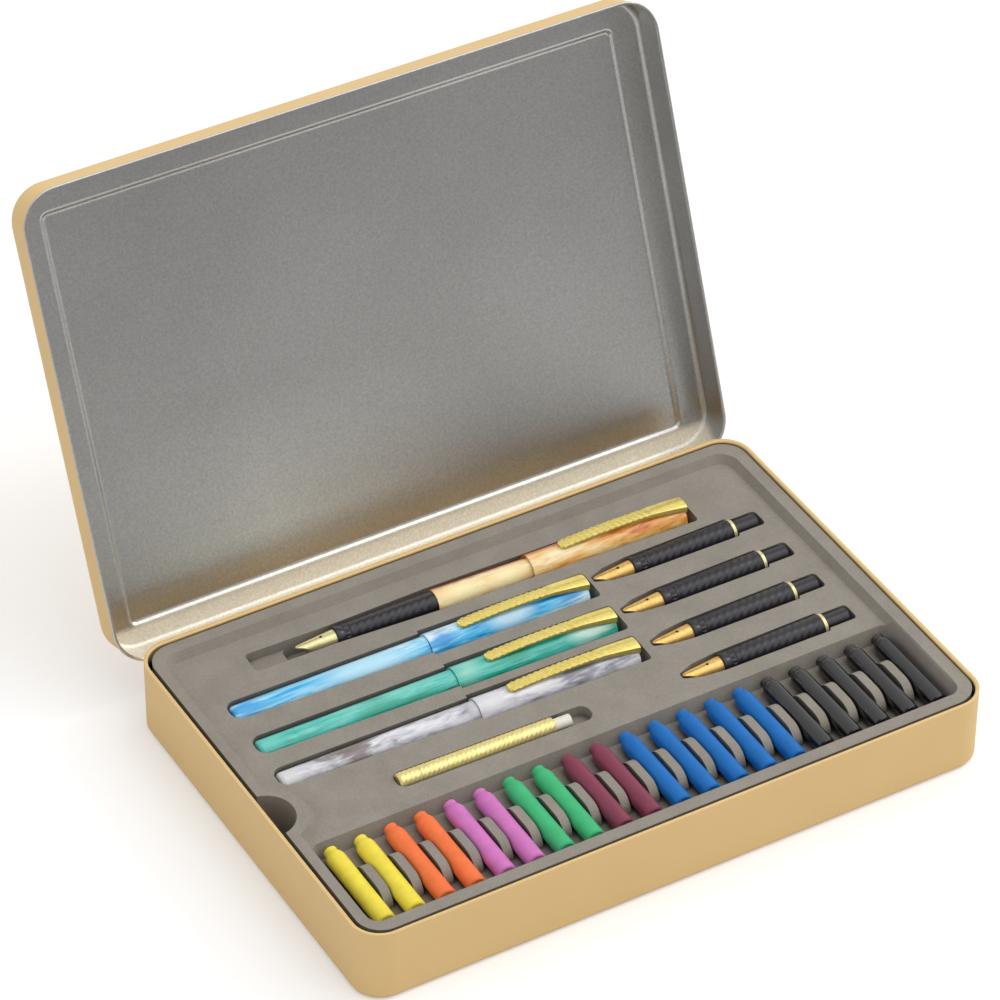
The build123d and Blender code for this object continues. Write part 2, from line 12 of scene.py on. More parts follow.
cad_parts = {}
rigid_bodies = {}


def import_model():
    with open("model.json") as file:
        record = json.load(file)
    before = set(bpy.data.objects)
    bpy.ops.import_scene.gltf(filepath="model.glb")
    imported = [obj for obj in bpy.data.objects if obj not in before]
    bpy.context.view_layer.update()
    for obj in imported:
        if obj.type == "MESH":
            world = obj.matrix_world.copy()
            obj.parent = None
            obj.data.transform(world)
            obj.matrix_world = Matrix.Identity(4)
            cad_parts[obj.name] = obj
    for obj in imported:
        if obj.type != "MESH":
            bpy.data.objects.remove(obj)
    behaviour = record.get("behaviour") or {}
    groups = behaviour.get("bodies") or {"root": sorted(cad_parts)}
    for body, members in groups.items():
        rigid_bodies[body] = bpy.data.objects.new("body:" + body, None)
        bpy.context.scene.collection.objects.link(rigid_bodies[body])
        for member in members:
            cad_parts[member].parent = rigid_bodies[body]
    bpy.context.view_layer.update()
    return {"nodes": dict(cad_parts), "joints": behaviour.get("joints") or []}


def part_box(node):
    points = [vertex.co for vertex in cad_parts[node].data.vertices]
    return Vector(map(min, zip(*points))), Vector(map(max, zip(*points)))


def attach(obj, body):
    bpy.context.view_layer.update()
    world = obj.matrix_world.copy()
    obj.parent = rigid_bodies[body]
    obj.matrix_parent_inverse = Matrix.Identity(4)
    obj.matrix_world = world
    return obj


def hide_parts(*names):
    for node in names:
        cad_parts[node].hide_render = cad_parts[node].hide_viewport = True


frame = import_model()
nodes = frame["nodes"]
joint_place = {j["name"]: j for j in frame["joints"]}

MM = 0.001
LID_ANGLE = 111.0
PEN_SLANT = 1.3
PEN_TURN = (0, 0, math.radians(PEN_SLANT))

# Shading of the CAD nodes and the pieces with relief, in degrees
SMOOTH_ANGLE = 28
RELIEF_SMOOTH_ANGLE = 40

# Which faces of the tin are painted: middles in metres, half sizes and depths in millimetres
BASE_MIDDLE = Vector((0, 0, 0.016))
LID_MIDDLE = Vector((0, 0.0006, 0.024))
SKIN_SHAPE = (120, 80, 7)
RIM_DOWN = -0.3
RIM_PAINTED = 1.2
PAINT_LAP = 6.0
GOLD = (227, 193, 132)

# Painted reflection low on the lid's inside, a beige glow that also dulls the metal: its height,
# and the part of it that is a plain band
REFLECTION_REACH = 70.0
REFLECTION_WIDTH = 240.0
REFLECTION_BAND = 0.078
TINPLATE_ROUGH = 0.3

# How far the flock's painted shade looks for the walls of a hollow, in millimetres
SHADE_REACH = 5.0

# Colours of the cartridges, and their roughness and shine
INKS = {
    "yellow": (246, 226, 72),
    "orange": (250, 122, 62),
    "pink": (214, 122, 194),
    "green": (62, 186, 122),
    "burgundy": (134, 58, 80),
    "blue": (2, 108, 188),
    "black": (24, 22, 23),
}
INK_SATIN = (0.4, 0.35)
INK_GLOSSY = (0.12, 0.8)

# Studio: reaches in metres, levels where 1 is white, and one large dim side of the sky
FLOOR_REACH = (6.0, 6.0)
FLOOR_LIFT = 0.25
SKY_LEVEL = 0.92
SKY_LEFT = 0.75
DIM_LEVEL = 0.2
DIM_SIDE = math.radians(-74)
DIM_HEIGHT = math.radians(18)
DIM_EDGE = math.cos(math.radians(48))
DIM_CORE = math.cos(math.radians(26))
LAMP_TARGET = (0, 0, 0.02)
CAMERA_PLACE = (-0.680087, -1.118020, 1.175196)
CAMERA_TURN = (50.6962, -0.2845, -30.1711)
CAMERA_LENS = 185.92

# Ridges, beads and grooves, in millimetres
CLIP_PITCH = 2.3
CLIP_LEAN = 0.7
CLIP_DEPTH = 0.38
CLIP_PLAIN = 14.0
CLIP_TOP = 0.4
BARREL_RADIUS = 4.8
GRIP_RADIUS = 4.3
GRIP_FRONT_RADIUS = 4.0
GRIP_WAIST_RADIUS = 3.75
GRIP_SOCKET = (9.0, 3.35)
GRIP_TAIL = (11.0, 3.2)
GRIP_STRAIGHT = 0.25
GRIP_PLAIN = 2.0
INK_BORE = 1.4
BEAD_PLACE = 4.2
BEAD_HALF = 0.9
BEAD_COUNT = 18
BEAD_DEPTH = 0.22
GRIP_PITCH = 3.0
GRIP_STARTS = 6
GRIP_DEPTH = 0.13
RING_WIDTH = 1.15
UNIT_GRIP = 40.2
PEN_GRIP = 38.5
SLEEVE = (50.5, 3.2, 2.9)
KNOB_LENGTH = 8.0
KNOB_GAP = 0.15
KNOB_BEVEL = 0.64
SCREW = (20.5, 0.9)
SLEEVE_PITCH = 1.75
SLEEVE_STARTS = 8
SLEEVE_DEPTH = 0.13
RELIEF_STEP = 0.35
RELIEF_SIDES = 72
SAME_POINT = 1e-7


# ---------------------------------------------------------------- shader helpers


def new_material(name):
    material = bpy.data.materials.new(name)
    material.use_nodes = True
    return material, material.node_tree, material.node_tree.nodes["Principled BSDF"]


def put(tree, kind, inputs=None, **settings):
    """Add a node, set its properties, and link or set its inputs."""
    node = tree.nodes.new(kind)
    for key, value in settings.items():
        setattr(node, key, value)
    for key, value in (inputs or {}).items():
        socket = node.inputs[key]
        if isinstance(value, bpy.types.NodeSocket):
            tree.links.new(value, socket)
        else:
            socket.default_value = value
    return node


def place(tree, scale=(1, 1, 1), rotation=(0, 0, 0), offset=(0, 0, 0)):
    """Object coordinates in millimetres, turned and scaled."""
    coords = tree.nodes.new("ShaderNodeTexCoord")
    mapping = put(
        tree,
        "ShaderNodeMapping",
        {
            "Vector": coords.outputs["Object"],
            "Location": offset,
            "Rotation": rotation,
            "Scale": [s / MM for s in scale],
        },
    )
    return mapping.outputs["Vector"]


def noise(tree, vector, scale, detail=2.0, roughness=0.5, distortion=0.0):
    """Fractal noise from 0 to 1."""
    node = put(
        tree,
        "ShaderNodeTexNoise",
        {
            "Vector": vector,
            "Scale": scale,
            "Detail": detail,
            "Roughness": roughness,
            "Distortion": distortion,
        },
    )
    return node.outputs["Fac"]


def grey(level):
    return (level, level, level)


def ramp(tree, value, stops):
    """A colour for a value, from stops of a position and a linear colour."""
    node = put(tree, "ShaderNodeValToRGB", {"Fac": value})
    elements = node.color_ramp.elements
    while len(elements) < len(stops):
        elements.new(0.5)
    for element, (position, colour) in zip(elements, stops):
        element.position = position
        element.color = (*colour, 1.0)
    return node.outputs["Color"]


def math_node(tree, operation, a, b=0.0, clamp=False):
    node = tree.nodes.new("ShaderNodeMath")
    node.operation = operation
    node.use_clamp = clamp
    for socket, value in zip(node.inputs, (a, b)):
        if isinstance(value, bpy.types.NodeSocket):
            tree.links.new(value, socket)
        else:
            socket.default_value = value
    return node.outputs["Value"]


def scale_and_add(tree, value, factor, addend):
    """The value times a number, plus a number or another socket."""
    result = math_node(tree, "MULTIPLY_ADD", value, factor)
    if isinstance(addend, bpy.types.NodeSocket):
        tree.links.new(addend, result.node.inputs[2])
    else:
        result.node.inputs[2].default_value = addend
    return result


def blend_colours(tree, factor, a, b, mode="MIX"):
    """A mix of two colours, each given as a socket or as a linear colour."""
    node = tree.nodes.new("ShaderNodeMix")
    node.data_type = "RGBA"
    node.blend_type = mode
    values = (factor, a, b)
    for slot, value in zip((0, 6, 7), values):
        if isinstance(value, bpy.types.NodeSocket):
            tree.links.new(value, node.inputs[slot])
        else:
            node.inputs[slot].default_value = value if slot == 0 else (*value, 1.0)
    return node.outputs[2]


def bump(tree, height, strength, distance):
    """A normal from a height, with the full height in millimetres."""
    node = put(
        tree, "ShaderNodeBump", {"Height": height, "Strength": strength, "Distance": distance * MM}
    )
    return node.outputs["Normal"]


def linear(r, g, b):
    """A colour given in the usual 0 to 255 steps, as a linear colour."""

    def one(v):
        v = v / 255
        return v / 12.92 if v <= 0.04045 else ((v + 0.055) / 1.055) ** 2.4

    return (one(r), one(g), one(b))


def separate(tree, vector):
    node = put(tree, "ShaderNodeSeparateXYZ", {"Vector": vector})
    return node.outputs


# ---------------------------------------------------------------- materials


def gold_paint():
    """Satin gold-beige lacquer of the tin's outside."""
    material, tree, shader = new_material("gold_paint")
    vector = place(tree)
    broad = noise(tree, vector, 0.03, 3)
    colour = ramp(tree, broad, [(0.3, linear(226, 192, 131)), (0.7, linear(229, 195, 134))])
    tree.links.new(colour, shader.inputs["Base Color"])
    shader.inputs["Metallic"].default_value = 0.15
    grain = noise(tree, vector, 2.2, 4, 0.6)
    tree.links.new(scale_and_add(tree, grain, 0.12, 0.42), shader.inputs["Roughness"])
    tree.links.new(bump(tree, grain, 0.08, 0.05), shader.inputs["Normal"])
    return material


def tinplate(name, reflection_from=None, paint_from=None):
    """Bare tinplate of the tin's inside, with a faint grain.

    Low on the lid it carries a painted reflection, a beige glow and a bright band, with the metal
    duller there, and the paint laps a little over the base's rim.
    """
    material, tree, shader = new_material(name)
    vector = place(tree)
    grain = noise(tree, vector, 1.1, 6, 0.75)
    cloud = noise(tree, vector, 0.012, 3, 0.5)
    base = ramp(tree, cloud, [(0.3, (0.56, 0.55, 0.53)), (0.7, (0.64, 0.63, 0.61))])
    shader.inputs["Metallic"].default_value = 1.0
    shader.inputs["Roughness"].default_value = TINPLATE_ROUGH
    x, _, z = separate(tree, vector)
    if reflection_from is not None:
        # Painted reflection: a beige glow low on the lid, strongest towards its left, and a plain
        # bright band at its foot; under them the metal is less metallic and rougher.
        height = math_node(tree, "DIVIDE", math_node(tree, "SUBTRACT", z, reflection_from), REFLECTION_REACH)
        low = ramp(tree, height, [(0.12, grey(0.1)), (0.33, grey(0.85)), (1.0, grey(0))])
        along = scale_and_add(tree, x, 1 / REFLECTION_WIDTH, 0.5)
        side = ramp(tree, along, [(0.04, grey(0.3)), (0.29, grey(1)), (0.67, grey(0))])
        broad = blend_colours(tree, 1.0, low, side, "MULTIPLY")
        band = ramp(tree, height, [(REFLECTION_BAND, grey(1)), (1.4 * REFLECTION_BAND, grey(0))])
        base = blend_colours(tree, broad, base, (0.93, 0.90, 0.82))
        base = blend_colours(tree, band, base, (0.93, 0.88, 0.76))
        reflection_mask = math_node(tree, "ADD", band, math_node(tree, "MULTIPLY", broad, 0.6), clamp=True)
        metal = scale_and_add(tree, reflection_mask, -0.45, 1.0)
        dull = scale_and_add(tree, reflection_mask, 0.15, TINPLATE_ROUGH)
        tree.links.new(metal, shader.inputs["Metallic"])
        tree.links.new(dull, shader.inputs["Roughness"])
    speck = ramp(tree, grain, [(0.35, grey(0.74)), (0.65, grey(1))])
    colour = blend_colours(tree, 1.0, base, speck, "MULTIPLY")
    if paint_from is not None:
        above = math_node(tree, "SUBTRACT", z, paint_from)
        paint = ramp(tree, above, [(0.0, grey(0)), (1.0, grey(1))])
        colour = blend_colours(tree, paint, colour, linear(*GOLD))
        tree.links.new(scale_and_add(tree, paint, -1.0, 1.0), shader.inputs["Metallic"])
    tree.links.new(colour, shader.inputs["Base Color"])
    tree.links.new(bump(tree, grain, 0.15, 0.05), shader.inputs["Normal"])
    return material


def steel():
    """Bright steel of the hinge pins, drawn along their length."""
    material, tree, shader = new_material("steel")
    grain = noise(tree, place(tree, (0.3, 3, 3)), 2.0, 4)
    colour = ramp(tree, grain, [(0.3, (0.42, 0.41, 0.40)), (0.7, (0.55, 0.54, 0.52))])
    tree.links.new(colour, shader.inputs["Base Color"])
    shader.inputs["Metallic"].default_value = 1.0
    shader.inputs["Roughness"].default_value = 0.35
    return material


def flock():
    """Warm grey flocking of the tray, with painted shade darkening it in its hollows."""
    material, tree, shader = new_material("flock")
    vector = place(tree)
    fibre = noise(tree, vector, 1.9, 5, 0.8)
    mottled = noise(tree, vector, 0.09, 4, 0.6)
    base = ramp(tree, mottled, [(0.3, linear(150, 143, 133)), (0.7, linear(161, 154, 144))])
    speck = ramp(tree, fibre, [(0.32, grey(0.72)), (0.66, grey(1))])
    colour = blend_colours(tree, 1.0, base, speck, "MULTIPLY")
    # Painted shade: ambient occlusion darkens the flock's colour in hollows, in gaps and beside
    # the pieces lying in it.
    occlusion = put(tree, "ShaderNodeAmbientOcclusion", {"Distance": SHADE_REACH * MM}, samples=8)
    painted_shade = ramp(
        tree,
        occlusion.outputs["AO"],
        [(0.08, grey(0.16)), (0.3, grey(0.5)), (0.5, grey(0.95)), (0.7, grey(1))],
    )
    colour = blend_colours(tree, 1.0, colour, painted_shade, "MULTIPLY")
    tree.links.new(colour, shader.inputs["Base Color"])
    shader.inputs["Roughness"].default_value = 0.95
    shader.inputs["Specular IOR Level"].default_value = 0.15
    shader.inputs["Sheen Weight"].default_value = 0.1
    tree.links.new(bump(tree, fibre, 0.5, 0.15), shader.inputs["Normal"])
    return material


def resin(name, stops, seed, patches=(), streak=None, stretch=0.2):
    """Polished marbled resin: veins drawn out along the pen, local patches and one long streak."""
    material, tree, shader = new_material(name)
    vector = place(tree, (stretch, 1, 1), PEN_TURN, (seed, seed, 0))
    warp = noise(tree, vector, 0.14, 3, 0.55, 0.8)
    fine = noise(tree, vector, 0.45, 4, 0.6, 1.2)
    mixed = scale_and_add(tree, fine, 0.45, math_node(tree, "MULTIPLY", warp, 0.62))
    colour = ramp(tree, mixed, stops)
    coords = tree.nodes.new("ShaderNodeTexCoord")
    for centre, reach, tint in patches:
        away = put(
            tree,
            "ShaderNodeVectorMath",
            {0: coords.outputs["Object"], 1: [c * MM for c in centre]},
            operation="DISTANCE",
        )
        spread = math_node(tree, "DIVIDE", away.outputs["Value"], reach * MM)
        uneven = math_node(tree, "MULTIPLY", math_node(tree, "SUBTRACT", mixed, 0.5), 3.2)
        reached = math_node(tree, "ADD", spread, uneven)
        mask = ramp(tree, reached, [(0.35, grey(0.85)), (1.0, grey(0))])
        colour = blend_colours(tree, mask, colour, tint)
    if streak:
        line, tint = streak
        blotch = noise(tree, place(tree, (0.6, 1, 1), PEN_TURN, (seed, 0, 0)), 0.35, 3, 0.6)
        across = separate(tree, place(tree, (1, 1, 1), PEN_TURN))[1]
        past = math_node(tree, "SUBTRACT", across, line)
        ragged = math_node(tree, "ADD", past, math_node(tree, "MULTIPLY", blotch, 3.0))
        edge = math_node(tree, "MULTIPLY", ragged, 0.25)
        mask = ramp(tree, edge, [(0.3, grey(0)), (0.8, grey(1))])
        colour = blend_colours(tree, mask, colour, tint)
    tree.links.new(colour, shader.inputs["Base Color"])
    shader.inputs["Roughness"].default_value = 0.28
    shader.inputs["Coat Weight"].default_value = 0.5
    shader.inputs["Coat Roughness"].default_value = 0.12
    return material


def gold_metal(name, low, high, rough):
    """Gold plating with a faint wear."""
    material, tree, shader = new_material(name)
    vector = place(tree, (1, 1, 1), PEN_TURN)
    grain = noise(tree, vector, 0.8, 4, 0.6)
    tree.links.new(ramp(tree, grain, [(0.3, low), (0.7, high)]), shader.inputs["Base Color"])
    shader.inputs["Metallic"].default_value = 0.6
    shader.inputs["Roughness"].default_value = rough
    return material


def black_plastic():
    """Glossy black of the grips and feeds."""
    material, tree, shader = new_material("black_plastic")
    vector = place(tree)
    grain = noise(tree, vector, 0.6, 4, 0.6)
    colour = ramp(tree, grain, [(0.3, (0.010, 0.008, 0.011)), (0.7, (0.020, 0.017, 0.022))])
    tree.links.new(colour, shader.inputs["Base Color"])
    shader.inputs["Roughness"].default_value = 0.28
    tree.links.new(bump(tree, grain, 0.05, 0.1), shader.inputs["Normal"])
    return material


def white_plastic():
    """Off-white plastic of the converter's mouth."""
    material, tree, shader = new_material("white_plastic")
    grain = noise(tree, place(tree), 0.5, 3)
    colour = ramp(tree, grain, [(0.3, linear(222, 216, 200)), (0.7, linear(236, 231, 218))])
    tree.links.new(colour, shader.inputs["Base Color"])
    shader.inputs["Roughness"].default_value = 0.4
    return material


def ink(name, colour, rough, shine):
    """Smooth plastic of one cartridge colour."""
    material, tree, shader = new_material(name)
    grain = noise(tree, place(tree), 0.25, 3)
    dark = [0.88 * c for c in colour]
    tree.links.new(ramp(tree, grain, [(0.3, dark), (0.7, colour)]), shader.inputs["Base Color"])
    shader.inputs["Roughness"].default_value = rough
    shader.inputs["Specular IOR Level"].default_value = shine
    return material


def floor_material():
    """Pale floor: white to the eye where it is lit, and it keeps the object's shadow."""
    material, tree, shader = new_material("floor")
    shader.inputs["Base Color"].default_value = (0.8, 0.8, 0.8, 1.0)
    shader.inputs["Roughness"].default_value = 1.0
    shader.inputs["Specular IOR Level"].default_value = 0.0
    shader.inputs["Emission Color"].default_value = (1.0, 1.0, 1.0, 1.0)
    path = tree.nodes.new("ShaderNodeLightPath")
    glow = math_node(tree, "MULTIPLY", path.outputs["Is Camera Ray"], FLOOR_LIFT)
    tree.links.new(glow, shader.inputs["Emission Strength"])
    return material


# ---------------------------------------------------------------- dressing the CAD nodes


def smooth_by_angle(obj, degrees):
    """Shade curved faces smooth and keep true edges sharp."""
    mesh = obj.data
    work = bmesh.new()
    work.from_mesh(mesh)
    limit = math.radians(degrees)
    for face in work.faces:
        face.smooth = True
    for edge in work.edges:
        edge.smooth = len(edge.link_faces) == 2 and edge.calc_face_angle(0.0) < limit
    work.to_mesh(mesh)
    work.free()


def dress(names, material):
    """One material for each of some CAD nodes."""
    for name in names:
        mesh = nodes[name].data
        mesh.materials.clear()
        mesh.materials.append(material)


def split_skin(name, outside, inside, centre, turn=None, painted_from=1.0):
    """One material on faces that look away from a centre, and on the rim above a height."""
    mesh = nodes[name].data
    mesh.materials.clear()
    mesh.materials.append(outside)
    mesh.materials.append(inside)
    back = turn or Matrix.Identity(4)
    spin = back.to_3x3()
    for face in mesh.polygons:
        away = back @ face.center - centre
        normal = spin @ face.normal
        flat = Vector([a / size for a, size in zip(away, SKIN_SHAPE)])
        bare_rim = turn and normal.z < RIM_DOWN
        painted = (flat.dot(normal) > 0 and not bare_rim) or face.center.z > painted_from
        face.material_index = 0 if painted else 1


# ---------------------------------------------------------------- pieces with relief


def wave(phase):
    """A smooth wave from 0 to 1 and back."""
    return 0.5 - 0.5 * math.cos(phase)


def stand_in(name, work, place_at, material):
    """A finished mesh in a piece's own frame takes the place of that CAD piece."""
    work.transform(place_at)
    mesh = bpy.data.meshes.new(f"{name}_relief")
    work.to_mesh(mesh)
    work.free()
    mesh.materials.append(material)
    obj = bpy.data.objects.new(f"{name}_relief", mesh)
    bpy.context.scene.collection.objects.link(obj)
    smooth_by_angle(obj, RELIEF_SMOOTH_ANGLE)
    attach(obj, nodes[name].parent.name.removeprefix("body:"))
    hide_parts(name)


def pen_frame(point):
    """A frame at a point of a pen's axis, with X along the pen."""
    return Matrix.Translation(point) @ Matrix.Rotation(-math.radians(PEN_SLANT), 4, "Z")


def box_middle(name):
    low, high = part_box(name)
    return (low + high) / 2


def cut_across(work, axis, start, end, step):
    """Cut a mesh with even planes across an axis."""
    count = max(1, round((end - start) / step))
    for i in range(1, count):
        point = axis * (start + (end - start) * i / count)
        everything = work.verts[:] + work.edges[:] + work.faces[:]
        bmesh.ops.bisect_plane(
            work, geom=everything, dist=SAME_POINT, plane_co=point, plane_no=axis
        )


def ridged_clip(name, material):
    """A clip with slanting ridges in its top, from the tip to its plain root."""
    place_at = pen_frame(box_middle(name))
    work = bmesh.new()
    work.from_mesh(nodes[name].data)
    bmesh.ops.remove_doubles(work, verts=work.verts[:], dist=10 * SAME_POINT)
    work.transform(place_at.inverted())
    for axis, step in ((Vector((1, 0, 0)), RELIEF_STEP), (Vector((0, 1, 0)), 2 * RELIEF_STEP)):
        reach = [v.co.dot(axis) for v in work.verts]
        cut_across(work, axis, min(reach), max(reach), step * MM)
    start = min(v.co.x for v in work.verts)
    plain = max(v.co.x for v in work.verts) - CLIP_PLAIN * MM
    work.normal_update()
    for v in [v for v in work.verts if v.normal.z > CLIP_TOP]:
        fade = min(max(min(v.co.x - start, plain - v.co.x) / MM, 0), 1)
        phase = 2 * math.pi * (v.co.x + CLIP_LEAN * v.co.y) / (CLIP_PITCH * MM)
        v.co.z -= CLIP_DEPTH * MM * fade * wave(phase)
    stand_in(name, work, place_at, material)


def lathe(profile, sunk):
    """A solid turned about X from a half outline in millimetres, its outside sunk by a pattern."""
    rings = []
    closed = profile[0][1] > 0
    ends = profile[1:] + profile[:1] if closed else profile[1:]
    for (x0, r0), (x1, r1) in zip(profile, ends):
        count = max(1, round(abs(x1 - x0) / RELIEF_STEP))
        rings += [(x0 + (x1 - x0) * i / count, r0 + (r1 - r0) * i / count) for i in range(count)]
    if not closed:
        rings.append(profile[-1])
    points = []
    for x, r in rings:
        for side in range(RELIEF_SIDES):
            angle = 2 * math.pi * side / RELIEF_SIDES
            radius = (r - sunk(x, r, angle)) * MM
            points.append((x * MM, radius * math.cos(angle), radius * math.sin(angle)))
    faces = []
    for ring in range(len(rings) if closed else len(rings) - 1):
        here, there = ring * RELIEF_SIDES, (ring + 1) % len(rings) * RELIEF_SIDES
        for side in range(RELIEF_SIDES):
            after = (side + 1) % RELIEF_SIDES
            faces.append((here + side, here + after, there + after, there + side))
    mesh = bpy.data.meshes.new("turned")
    mesh.from_pydata(points, [], faces)
    work = bmesh.new()
    work.from_mesh(mesh)
    bpy.data.meshes.remove(mesh)
    bmesh.ops.remove_doubles(work, verts=work.verts[:], dist=SAME_POINT)
    bmesh.ops.recalc_face_normals(work, faces=work.faces[:])
    return work


def beaded_grip(name, length, place_at, material):
    """A grip with a ring of beads behind the nib and slanting ridges along its body."""
    lip = GRIP_FRONT_RADIUS / 5
    deep, bore = GRIP_SOCKET
    tail, thread = GRIP_TAIL
    profile = [
        (tail, INK_BORE),
        (tail, thread - lip / 2),
        (tail - lip / 2, thread),
        (0, thread),
        (0, GRIP_RADIUS),
        (-length * GRIP_STRAIGHT, GRIP_RADIUS),
        (-length + 3 * lip, GRIP_WAIST_RADIUS),
        (-length + 2 * lip, GRIP_FRONT_RADIUS),
        (-length + lip / 2, GRIP_FRONT_RADIUS),
        (-length, GRIP_FRONT_RADIUS - lip / 2),
        (-length, bore),
        (-length + deep, bore),
        (-length + deep, INK_BORE),
    ]

    def sunk(x, r, angle):
        from_front = x + length
        if r <= bore or x > -GRIP_PLAIN:
            return 0
        off = abs(from_front - BEAD_PLACE)
        if off < BEAD_HALF:
            return BEAD_DEPTH * wave(BEAD_COUNT * angle)
        if off < BEAD_HALF + RELIEF_STEP:
            return BEAD_DEPTH
        if from_front > BEAD_PLACE + 2 * BEAD_HALF:
            return GRIP_DEPTH * wave(2 * math.pi * x / GRIP_PITCH + GRIP_STARTS * angle)
        return 0

    stand_in(name, lathe(profile, sunk), place_at, material)


def ribbed_converter(material):
    """The converter's sleeve and twist knob, with fine slanting ridges all the way round."""
    place_at = pen_frame(box_middle("converter_sleeve"))
    length, outer, inner = SLEEVE
    left, right = -length / 2, length / 2

    def sunk(x, r, angle):
        if r < outer - KNOB_BEVEL / 2:
            return 0
        return SLEEVE_DEPTH * wave(2 * math.pi * x / SLEEVE_PITCH + SLEEVE_STARTS * angle)

    sleeve = [(left, inner), (left, outer), (right, outer), (right, inner)]
    stand_in("converter_sleeve", lathe(sleeve, sunk), place_at, material)
    end = left - KNOB_GAP
    start = end - KNOB_LENGTH
    reach, core = SCREW
    knob = [
        (start, 0),
        (start, outer - KNOB_BEVEL),
        (start + KNOB_BEVEL, outer),
        (end, outer),
        (end, core),
        (left + reach, core),
        (left + reach, 0),
    ]
    stand_in("converter_knob", lathe(knob, sunk), place_at, material)


# ---------------------------------------------------------------- scene


def area_light(name, place_at, side, power):
    """A square white lamp that faces the object, with its side in metres."""
    data = bpy.data.lights.new(name, "AREA")
    data.shape = "RECTANGLE"
    data.size = data.size_y = side
    data.energy = power
    lamp = bpy.data.objects.new(name, data)
    bpy.context.scene.collection.objects.link(lamp)
    lamp.location = place_at
    aim = Vector(LAMP_TARGET) - Vector(place_at)
    lamp.rotation_euler = aim.to_track_quat("-Z", "Y").to_euler()


def make_floor():
    """One large flat square under the object."""
    mesh = bpy.data.meshes.new("floor")
    x, y = FLOOR_REACH
    mesh.from_pydata([(-x, -y, 0), (x, -y, 0), (x, y, 0), (-x, y, 0)], [], [(0, 1, 2, 3)])
    mesh.materials.append(floor_material())
    floor = bpy.data.objects.new("floor", mesh)
    bpy.context.scene.collection.objects.link(floor)
    return floor


def make_world():
    """Even studio light with one large dim side, white behind the object."""
    world = bpy.data.worlds.new("studio")
    bpy.context.scene.world = world
    world.use_nodes = True
    tree = world.node_tree
    background = tree.nodes["Background"]
    coords = tree.nodes.new("ShaderNodeTexCoord")
    flat = math.cos(DIM_HEIGHT)
    aim = [flat * math.cos(DIM_SIDE), flat * math.sin(DIM_SIDE), math.sin(DIM_HEIGHT)]
    near = put(
        tree,
        "ShaderNodeVectorMath",
        {0: coords.outputs["Generated"], 1: aim},
        operation="DOT_PRODUCT",
    )
    dimming = [(DIM_EDGE, grey(SKY_LEVEL)), (DIM_CORE, grey(DIM_LEVEL))]
    sky = ramp(tree, near.outputs["Value"], dimming)
    sideways = math_node(tree, "ADD", separate(tree, coords.outputs["Generated"])[0], 1.0)
    halved = math_node(tree, "MULTIPLY", sideways, 0.5)
    fade = ramp(tree, halved, [(0, grey(SKY_LEFT)), (0.6, grey(1))])
    sky = blend_colours(tree, 1.0, sky, fade, "MULTIPLY")
    path = tree.nodes.new("ShaderNodeLightPath")
    colour = blend_colours(tree, path.outputs["Is Camera Ray"], sky, (1, 1, 1))
    tree.links.new(colour, background.inputs["Color"])
    background.inputs["Strength"].default_value = 1.0


def make_camera():
    """The photograph's viewing angle and frame."""
    data = bpy.data.cameras.new("camera")
    data.sensor_width = 36.0
    data.lens = CAMERA_LENS
    data.clip_start = 0.1
    data.clip_end = 50.0
    camera = bpy.data.objects.new("camera", data)
    bpy.context.scene.collection.objects.link(camera)
    camera.location = CAMERA_PLACE
    camera.rotation_euler = Euler([math.radians(a) for a in CAMERA_TURN])
    bpy.context.scene.camera = camera


# ---------------------------------------------------------------- build


def dress_tin():
    """Paint outside and bare metal inside, on the base and on the lid as it lies when shut."""
    outside, inside = gold_paint(), tinplate("tinplate")
    base_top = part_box("base_tin")[1].z
    lapped = tinplate("tinplate_base", paint_from=base_top / MM - PAINT_LAP)
    rim = base_top - RIM_PAINTED * MM
    split_skin("base_tin", outside, lapped, BASE_MIDDLE, painted_from=rim)
    hinge = joint_place["lid_hinge"]["pos_m"]
    close = (
        Matrix.Translation(hinge)
        @ Matrix.Rotation(math.radians(LID_ANGLE), 4, "X")
        @ Matrix.Translation([-v for v in hinge])
    )
    # The lid's inside tinplate, with the painted reflection low down.
    reflection_tinplate = tinplate("tinplate_lid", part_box("lid_shell")[0].z / MM)
    split_skin("lid_shell", outside, reflection_tinplate, LID_MIDDLE, close)
    dress(["base_hinge_left", "base_hinge_right", "lid_hinge_left", "lid_hinge_right"], inside)
    dress(["hinge_pins"], steel())


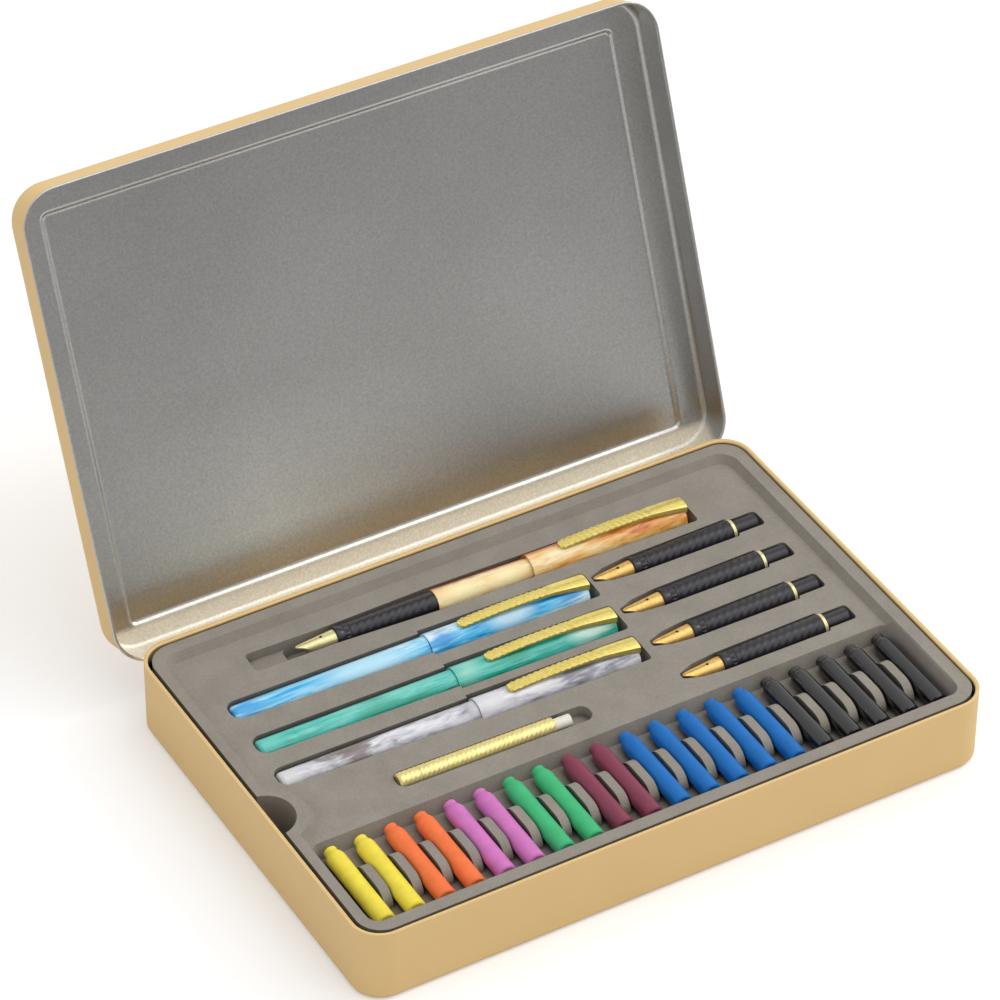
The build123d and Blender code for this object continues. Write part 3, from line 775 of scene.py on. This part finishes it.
def pen_resins():
    """The marbled resin of each pen: stops, seed, patches by place, reach and colour."""
    return {
        "blue": resin(
            "resin_blue",
            [
                (0.39, linear(2, 130, 204)),
                (0.46, linear(56, 182, 234)),
                (0.54, linear(150, 216, 245)),
                (0.64, linear(220, 240, 248)),
            ],
            3.0,
            [
                ((-24, 38.5, 27), 7, linear(8, 138, 212)),
                ((26, 37.8, 26), 8, linear(4, 138, 212)),
                ((2, 38.6, 27), 9, linear(196, 226, 244)),
                ((-52, 41.0, 26), 20, linear(184, 228, 244)),
                ((-98, 42, 25), 9, linear(30, 158, 224)),
            ],
            stretch=0.1,
        ),
        "green": resin(
            "resin_green",
            [
                (0.39, linear(2, 122, 92)),
                (0.46, linear(20, 162, 136)),
                (0.54, linear(58, 186, 172)),
                (0.74, linear(136, 216, 202)),
            ],
            11.0,
            [
                ((-25, 20.4, 27), 7, linear(148, 212, 196)),
                ((-6, 19.5, 27), 7, linear(6, 150, 110)),
                ((20, 18.8, 26), 9, linear(205, 232, 222)),
                ((-60, 21.6, 26), 13, linear(16, 158, 132)),
                ((-100, 22.4, 25), 7, linear(84, 198, 186)),
            ],
            stretch=0.12,
        ),
        "grey": resin(
            "resin_grey",
            [
                (0.38, linear(112, 110, 120)),
                (0.46, linear(172, 172, 182)),
                (0.56, linear(212, 212, 218)),
                (0.68, linear(240, 240, 240)),
            ],
            23.0,
            [
                ((-79, 4.3, 25), 12, linear(116, 100, 94)),
                ((-102, 4.8, 25), 8, linear(214, 214, 214)),
                ((-26, 3.0, 27), 8, linear(222, 222, 226)),
                ((6, 2.4, 27), 9, linear(120, 122, 132)),
            ],
            stretch=0.25,
        ),
        "orange": resin(
            "resin_orange",
            [
                (0.39, linear(196, 98, 22)),
                (0.46, linear(226, 150, 66)),
                (0.54, linear(238, 188, 108)),
                (0.66, linear(248, 230, 182)),
            ],
            37.0,
            [
                ((-6, 58.5, 25), 15, linear(252, 240, 186)),
                ((12, 58.0, 25), 13, linear(252, 240, 186)),
            ],
            streak=(59.0, linear(204, 112, 38)),
        ),
    }


def dress_writing_pieces():
    """Pens, spare nib units and the converter."""
    clip_gold = gold_metal("clip_gold", linear(230, 204, 98), linear(246, 230, 142), 0.26)
    tube_gold = gold_metal("tube_gold", linear(226, 204, 122), linear(246, 232, 166), 0.28)
    nib_gold = gold_metal("nib_gold", linear(220, 170, 88), linear(242, 206, 128), 0.28)
    pale_gold = gold_metal("pale_gold", linear(214, 202, 146), linear(232, 222, 172), 0.25)
    black = black_plastic()
    for colour, material in pen_resins().items():
        dress([f"{colour}_pen_barrel", f"{colour}_pen_cap"], material)
        dress([f"{colour}_pen_nib"], pale_gold)
        dress([f"{colour}_pen_grip", f"{colour}_pen_feed", f"{colour}_pen_clip"], black)
        ridged_clip(f"{colour}_pen_clip", clip_gold)
    low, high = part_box("orange_pen_barrel")
    slant = math.radians(PEN_SLANT)
    rim = BARREL_RADIUS * MM
    joint = Vector(
        (low.x + rim * math.sin(slant), high.y - rim * math.cos(slant), (low.z + high.z) / 2)
    )
    beaded_grip("orange_pen_grip", PEN_GRIP, pen_frame(joint), black)
    for i in range(1, 5):
        dress([f"nib_unit_{i}_nib"], nib_gold)
        dress([f"nib_unit_{i}_ring"], pale_gold)
        dress([f"nib_unit_{i}_grip", f"nib_unit_{i}_feed"], black)
        joint = box_middle(f"nib_unit_{i}_ring") - Vector((RING_WIDTH / 2 * MM, 0, 0))
        beaded_grip(f"nib_unit_{i}_grip", UNIT_GRIP, Matrix.Translation(joint), black)
    dress(["converter_sleeve", "converter_knob"], tube_gold)
    ribbed_converter(tube_gold)
    dress(["converter_mouth"], white_plastic())
    dress(["converter_piston"], black)


def main():
    for obj in nodes.values():
        smooth_by_angle(obj, SMOOTH_ANGLE)
    dress_tin()
    dress(["tray"], flock())
    dress_writing_pieces()
    for name, colour in INKS.items():
        rough, shine = INK_GLOSSY if name == "black" else INK_SATIN
        dress([f"{name}_cartridges"], ink(f"ink_{name}", linear(*colour), rough, shine))

    make_floor()
    make_world()
    area_light("key", (0.9, -1.1, 2.1), 3.0, 30)
    area_light("glint", (1.7, -0.3, 1.5), 0.3, 6)
    make_camera()
    bpy.context.scene.view_settings.view_transform = "Standard"


main()
